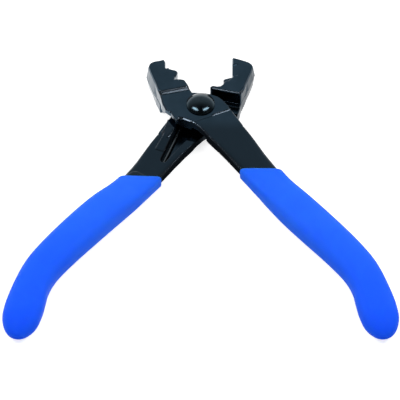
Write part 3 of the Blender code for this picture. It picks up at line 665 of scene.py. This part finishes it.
def lay_floor():
    """The sheet of white paper that the tool lies on; it looks white and keeps the tool's soft shadow, and for glossy
    rays it glows more at the left of the tool than at the right, a painted reflection.
    """
    made, tree, shader = new_material("white_paper_sweep", "#cccccc", 0.9, 0.0)
    shader.inputs["Specular IOR Level"].default_value = 0.0
    across = add_node(tree, "ShaderNodeSeparateXYZ", i0=add_node(tree, "ShaderNodeTexCoord").outputs["Object"])
    # Painted reflection: extra glow that only glossy rays see, more at the left of the tool and less at the right
    painted_reflection = add_node(tree, "ShaderNodeMapRange", {"interpolation_type": "SMOOTHSTEP"}, i0=across.outputs["X"],
                    i1=-REFLECTION_RAMP_WIDTH, i2=REFLECTION_RAMP_WIDTH, i3=LEFT_REFLECTION_LIFT, i4=-RIGHT_REFLECTION_DROP)
    mirrored = add_node(tree, "ShaderNodeLightPath").outputs["Is Glossy Ray"]
    lift = add_node(tree, "ShaderNodeMath", {"operation": "MULTIPLY"}, i0=seen_directly(tree), i1=PAPER_LIFT)
    more = add_node(tree, "ShaderNodeMath", {"operation": "MULTIPLY_ADD"}, i0=mirrored, i1=painted_reflection.outputs[0],
                    i2=lift.outputs[0])
    glow = add_node(tree, "ShaderNodeEmission", Strength=more.outputs[0])
    both = add_node(tree, "ShaderNodeAddShader", i0=shader.outputs[0], i1=glow.outputs[0])
    tree.links.new(both.outputs[0], tree.nodes["Material Output"].inputs["Surface"])
    shape = bmesh.new()
    bmesh.ops.create_grid(shape, x_segments=1, y_segments=1, size=FLOOR_REACH)
    floor = in_scene("studio_floor", as_mesh("studio_floor", shape))
    floor.data.materials.append(made)
    floor.location.z = -FLOOR_GAP


def light_studio():
    """A white room, brightest low down and at the back, and two softboxes, one at each side above the tool."""
    world = bpy.data.worlds.new("studio")
    bpy.context.scene.world = world
    world.use_nodes = True
    tree = world.node_tree
    way = add_node(tree, "ShaderNodeSeparateXYZ", i0=add_node(tree, "ShaderNodeTexCoord").outputs["Generated"])
    back = add_node(tree, "ShaderNodeMapRange", {"interpolation_type": "SMOOTHSTEP"}, i0=way.outputs["Y"],
                    i1=ROOM_TURN[0], i2=ROOM_TURN[1], i3=ROOM_FRONT, i4=ROOM_BACK)
    low = add_node(tree, "ShaderNodeMapRange", {"interpolation_type": "SMOOTHSTEP"}, i0=way.outputs["Z"],
                   i1=0.0, i2=ROOM_LOW_TOP, i3=ROOM_LOW, i4=0.0)
    level = add_node(tree, "ShaderNodeMath", {"operation": "ADD"}, i0=back.outputs[0], i1=low.outputs[0])
    tree.links.new(level.outputs[0], tree.nodes["Background"].inputs["Strength"])
    white = linear("#ffffff")
    tree.nodes["Background"].inputs["Color"].default_value = white
    camera_sees = add_node(tree, "ShaderNodeLightPath").outputs["Is Camera Ray"]
    plain = add_node(tree, "ShaderNodeBackground", Color=white, Strength=1.0)
    mixed = add_node(tree, "ShaderNodeMixShader", i0=camera_sees, i1=tree.nodes["Background"].outputs[0],
                     i2=plain.outputs[0])
    tree.links.new(mixed.outputs[0], tree.nodes["World Output"].inputs["Surface"])
    for side in (-1, 1):
        lamp = bpy.data.lights.new("softbox", "AREA")
        lamp.shape = "ELLIPSE"
        lamp.size, lamp.size_y = SOFTBOX_SIZE
        # The lamp's face glows at its power over pi and over the ellipse's area
        lamp.energy = SOFTBOX_LEVEL * math.pi * SOFTBOX_SIZE[0] * SOFTBOX_SIZE[1] * math.pi / 4
        aim = Vector((SOFTBOX_WAY[0] * side, SOFTBOX_WAY[1], SOFTBOX_WAY[2])).normalized()
        run = Vector((SOFTBOX_RUN[0] * side, SOFTBOX_RUN[1], SOFTBOX_RUN[2]))
        run = (run - aim * run.dot(aim)).normalized()
        turned = Matrix((run, aim.cross(run), aim)).transposed()
        place = Matrix.Translation(aim * SOFTBOX_DISTANCE + Vector((0, PIVOT_Y, 0)))
        in_scene("softbox", lamp).matrix_world = place @ turned.to_4x4()


def place_camera():
    """Aims the camera so that the pivot is seen where the photograph has it."""
    camera = bpy.data.cameras.new("camera")
    camera.lens = PIXELS_PER_MM * camera.sensor_width / IMAGE_SIZE * CAMERA_DISTANCE / MM
    camera.clip_end = CAMERA_SEES_TO
    across, down = ((pixel - IMAGE_SIZE / 2) * MM / PIXELS_PER_MM for pixel in PIVOT_SEEN_AT)
    back = Vector((0, -math.cos(CAMERA_ELEVATION), math.sin(CAMERA_ELEVATION)))
    upward = Vector((0, math.sin(CAMERA_ELEVATION), math.cos(CAMERA_ELEVATION)))
    target = Vector((0, PIVOT_Y, PAD_FACE)) - Vector((across, 0, 0)) + upward * down
    made = in_scene("camera", camera)
    made.location = target + back * CAMERA_DISTANCE
    made.rotation_mode = "QUATERNION"
    made.rotation_quaternion = back.to_track_quat("Z", "Y")
    bpy.context.scene.camera = made


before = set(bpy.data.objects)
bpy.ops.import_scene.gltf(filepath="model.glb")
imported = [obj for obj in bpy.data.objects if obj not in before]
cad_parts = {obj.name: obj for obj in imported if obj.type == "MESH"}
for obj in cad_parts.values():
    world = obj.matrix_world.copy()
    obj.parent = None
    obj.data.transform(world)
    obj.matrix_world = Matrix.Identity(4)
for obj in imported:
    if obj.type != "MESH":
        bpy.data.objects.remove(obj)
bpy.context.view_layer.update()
bpy.context.scene.view_settings.view_transform = "Standard"

steel, vinyl = black_oxide_steel(), dipped_vinyl()
lever = worked_forging(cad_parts["front_lever"])
grip = dipped_grip()
add_piece("front_forging", lever, steel, "front_half", "front_lever")
add_piece("rear_forging", turned_over(lever), steel, "rear_half", "rear_lever")
add_piece("front_dipped_grip", grip, vinyl, "front_half", "front_grip")
add_piece("rear_dipped_grip", turned_over(grip), vinyl, "rear_half", "rear_grip")
add_piece("domed_rivet", headed_rivet(), rivet_steel(), "rear_half", "pivot_rivet")
spring = add_piece("torsion_spring", wound_spring(), spring_wire(), "", "return_spring")
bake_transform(spring)

lay_floor()
light_studio()
place_camera()
